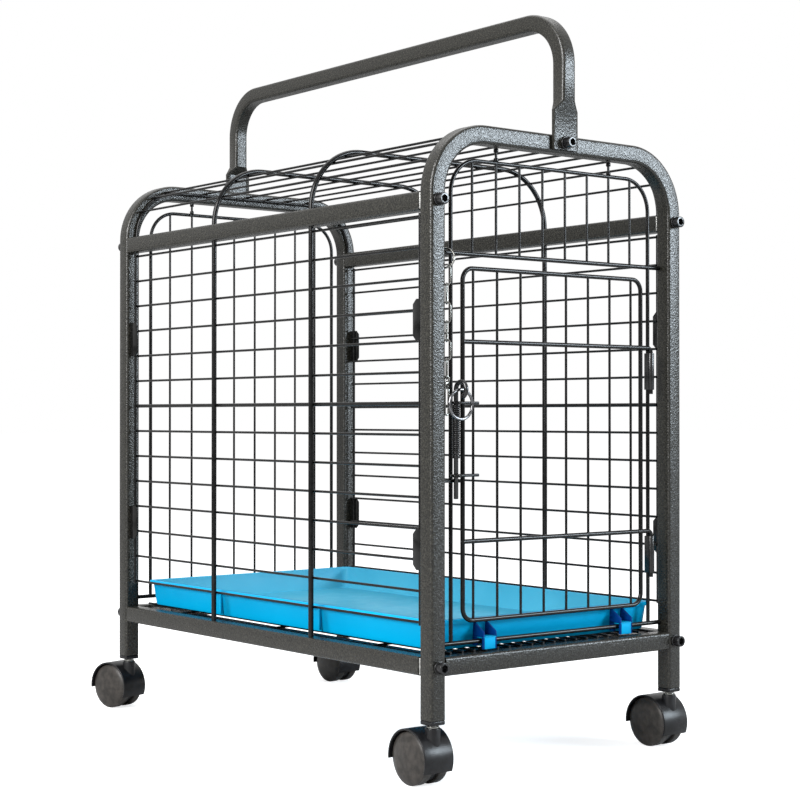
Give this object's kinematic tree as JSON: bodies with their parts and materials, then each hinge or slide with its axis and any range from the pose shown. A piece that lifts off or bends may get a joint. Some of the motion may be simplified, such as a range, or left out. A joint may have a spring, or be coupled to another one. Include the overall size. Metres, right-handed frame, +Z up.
{
  "type": "pet travel crate",
  "caption": "Wire pet travel crate on swivel castors, with a carrying handle, a hinged front door with a spring latch, a safety chain and a blue tray",
  "frame": {"origin": "centre of the crate's footprint, on the ground under the castors", "axes": "+X to the crate's right seen from the door, +Y from the door to the rear, +Z up"},
  "size_m": [0.3676, 0.643, 0.7525],
  "materials": {
    "hammered_frame": "charcoal hammered powder coat, satin",
    "black_wire": "gloss black coat on round wire",
    "black_hardware": "semi-gloss black plated steel",
    "bright_steel": "bright zinc and chrome plate",
    "black_nylon": "black moulded nylon, soft sheen",
    "blue_plastic": "blue moulded plastic, satin"
  },
  "bodies": {
    "root": {"bolt_front_lower_left": "black_hardware", "bolt_front_lower_right": "black_hardware", "bolt_front_upper_left": "black_hardware", "bolt_front_upper_right": "black_hardware", "bolt_rear_lower_left": "black_hardware", "bolt_rear_lower_right": "black_hardware", "bolt_rear_upper_left": "black_hardware", "bolt_rear_upper_right": "black_hardware", "castor_stem_front_left": "bright_steel", "castor_stem_front_right": "bright_steel", "castor_stem_rear_left": "bright_steel", "castor_stem_rear_right": "bright_steel", "chain_anchor": "bright_steel", "floor_grille": "black_wire", "front_cross_rail": "hammered_frame", "front_frame": "hammered_frame", "front_panel": "black_wire", "handle": "hammered_frame", "handle_bolt_front": "black_hardware", "handle_bolt_rear": "black_hardware", "hinge_clip_lower": "black_hardware", "hinge_clip_upper": "black_hardware", "latch_keeper": "black_wire", "rear_cross_rail": "hammered_frame", "rear_frame": "hammered_frame", "rear_panel": "black_wire", "roof_grille": "black_wire", "side_grille_left": "black_wire", "side_grille_right": "black_wire", "side_rail_lower_left": "hammered_frame", "side_rail_lower_right": "hammered_frame", "side_rail_upper_left": "hammered_frame", "side_rail_upper_right": "hammered_frame", "tray": "blue_plastic"},
    "door": {"door": "black_wire", "latch_spring": "black_hardware"},
    "latch": {"latch_bolt": "black_hardware", "pull_ring": "black_hardware"},
    "chain": {"chain": "bright_steel", "snap_hook": "bright_steel"},
    "gate": {"snap_gate": "bright_steel"},
    "castor_front_left": {"castor_front_left_housing": "black_nylon", "castor_front_left_axle": "bright_steel"},
    "wheel_front_left_left": {"castor_front_left_wheel_left": "black_nylon"},
    "wheel_front_left_right": {"castor_front_left_wheel_right": "black_nylon"},
    "castor_front_right": {"castor_front_right_housing": "black_nylon", "castor_front_right_axle": "bright_steel"},
    "wheel_front_right_left": {"castor_front_right_wheel_left": "black_nylon"},
    "wheel_front_right_right": {"castor_front_right_wheel_right": "black_nylon"},
    "castor_rear_left": {"castor_rear_left_housing": "black_nylon", "castor_rear_left_axle": "bright_steel"},
    "wheel_rear_left_left": {"castor_rear_left_wheel_left": "black_nylon"},
    "wheel_rear_left_right": {"castor_rear_left_wheel_right": "black_nylon"},
    "castor_rear_right": {"castor_rear_right_housing": "black_nylon", "castor_rear_right_axle": "bright_steel"},
    "wheel_rear_right_left": {"castor_rear_right_wheel_left": "black_nylon"},
    "wheel_rear_right_right": {"castor_rear_right_wheel_right": "black_nylon"}
  },
  "joints": [
    {"name": "door_hinge", "type": "hinge", "parent": "root", "child": "door", "pos_m": [0.13963, -0.29822, 0.3205], "axis": [0, 0, 1], "range_deg": [0, 120]},
    {"name": "latch_slide", "type": "slide", "parent": "door", "child": "latch", "axis": [0, 0, 1], "range_m": [0, 0.022], "stiffness_N_per_m": 60, "springref_m": -0.01, "deforming": ["latch_spring"]},
    {"name": "chain_swing", "type": "hinge", "parent": "root", "child": "chain", "pos_m": [-0.13867, -0.29957, 0.48784], "axis": [1, 0, 0], "range_deg": [0, 20]},
    {"name": "gate_hinge", "type": "hinge", "parent": "chain", "child": "gate", "pos_m": [-0.13647, -0.29957, 0.37483], "axis": [0, 1, 0], "range_deg": [0, 6], "stiffness_Nm_per_rad": 0.004},
    {"name": "swivel_front_left", "type": "hinge", "parent": "root", "child": "castor_front_left", "pos_m": [-0.15517, -0.29877, 0.05], "axis": [0, 0, 1], "continuous": true},
    {"name": "spin_front_left_left", "type": "hinge", "parent": "castor_front_left", "child": "wheel_front_left_left", "pos_m": [-0.15517, -0.28077, 0.0255], "axis": [1, 0, 0], "continuous": true},
    {"name": "spin_front_left_right", "type": "hinge", "parent": "castor_front_left", "child": "wheel_front_left_right", "pos_m": [-0.15517, -0.28077, 0.0255], "axis": [1, 0, 0], "continuous": true},
    {"name": "swivel_front_right", "type": "hinge", "parent": "root", "child": "castor_front_right", "pos_m": [0.16583, -0.29877, 0.05], "axis": [0, 0, 1], "continuous": true},
    {"name": "spin_front_right_left", "type": "hinge", "parent": "castor_front_right", "child": "wheel_front_right_left", "pos_m": [0.16583, -0.28077, 0.0255], "axis": [1, 0, 0], "continuous": true},
    {"name": "spin_front_right_right", "type": "hinge", "parent": "castor_front_right", "child": "wheel_front_right_right", "pos_m": [0.16583, -0.28077, 0.0255], "axis": [1, 0, 0], "continuous": true},
    {"name": "swivel_rear_left", "type": "hinge", "parent": "root", "child": "castor_rear_left", "pos_m": [-0.15517, 0.27223, 0.05], "axis": [0, 0, 1], "continuous": true},
    {"name": "spin_rear_left_left", "type": "hinge", "parent": "castor_rear_left", "child": "wheel_rear_left_left", "pos_m": [-0.15983, 0.28961, 0.0255], "axis": [0.9659, 0.2588, 0], "continuous": true},
    {"name": "spin_rear_left_right", "type": "hinge", "parent": "castor_rear_left", "child": "wheel_rear_left_right", "pos_m": [-0.15983, 0.28961, 0.0255], "axis": [0.9659, 0.2588, 0], "continuous": true},
    {"name": "swivel_rear_right", "type": "hinge", "parent": "root", "child": "castor_rear_right", "pos_m": [0.16583, 0.27223, 0.05], "axis": [0, 0, 1], "continuous": true},
    {"name": "spin_rear_right_left", "type": "hinge", "parent": "castor_rear_right", "child": "wheel_rear_right_left", "pos_m": [0.1652, 0.29022, 0.0255], "axis": [0.9994, 0.0349, 0], "continuous": true},
    {"name": "spin_rear_right_right", "type": "hinge", "parent": "castor_rear_right", "child": "wheel_rear_right_right", "pos_m": [0.1652, 0.29022, 0.0255], "axis": [0.9994, 0.0349, 0], "continuous": true}
  ]
}
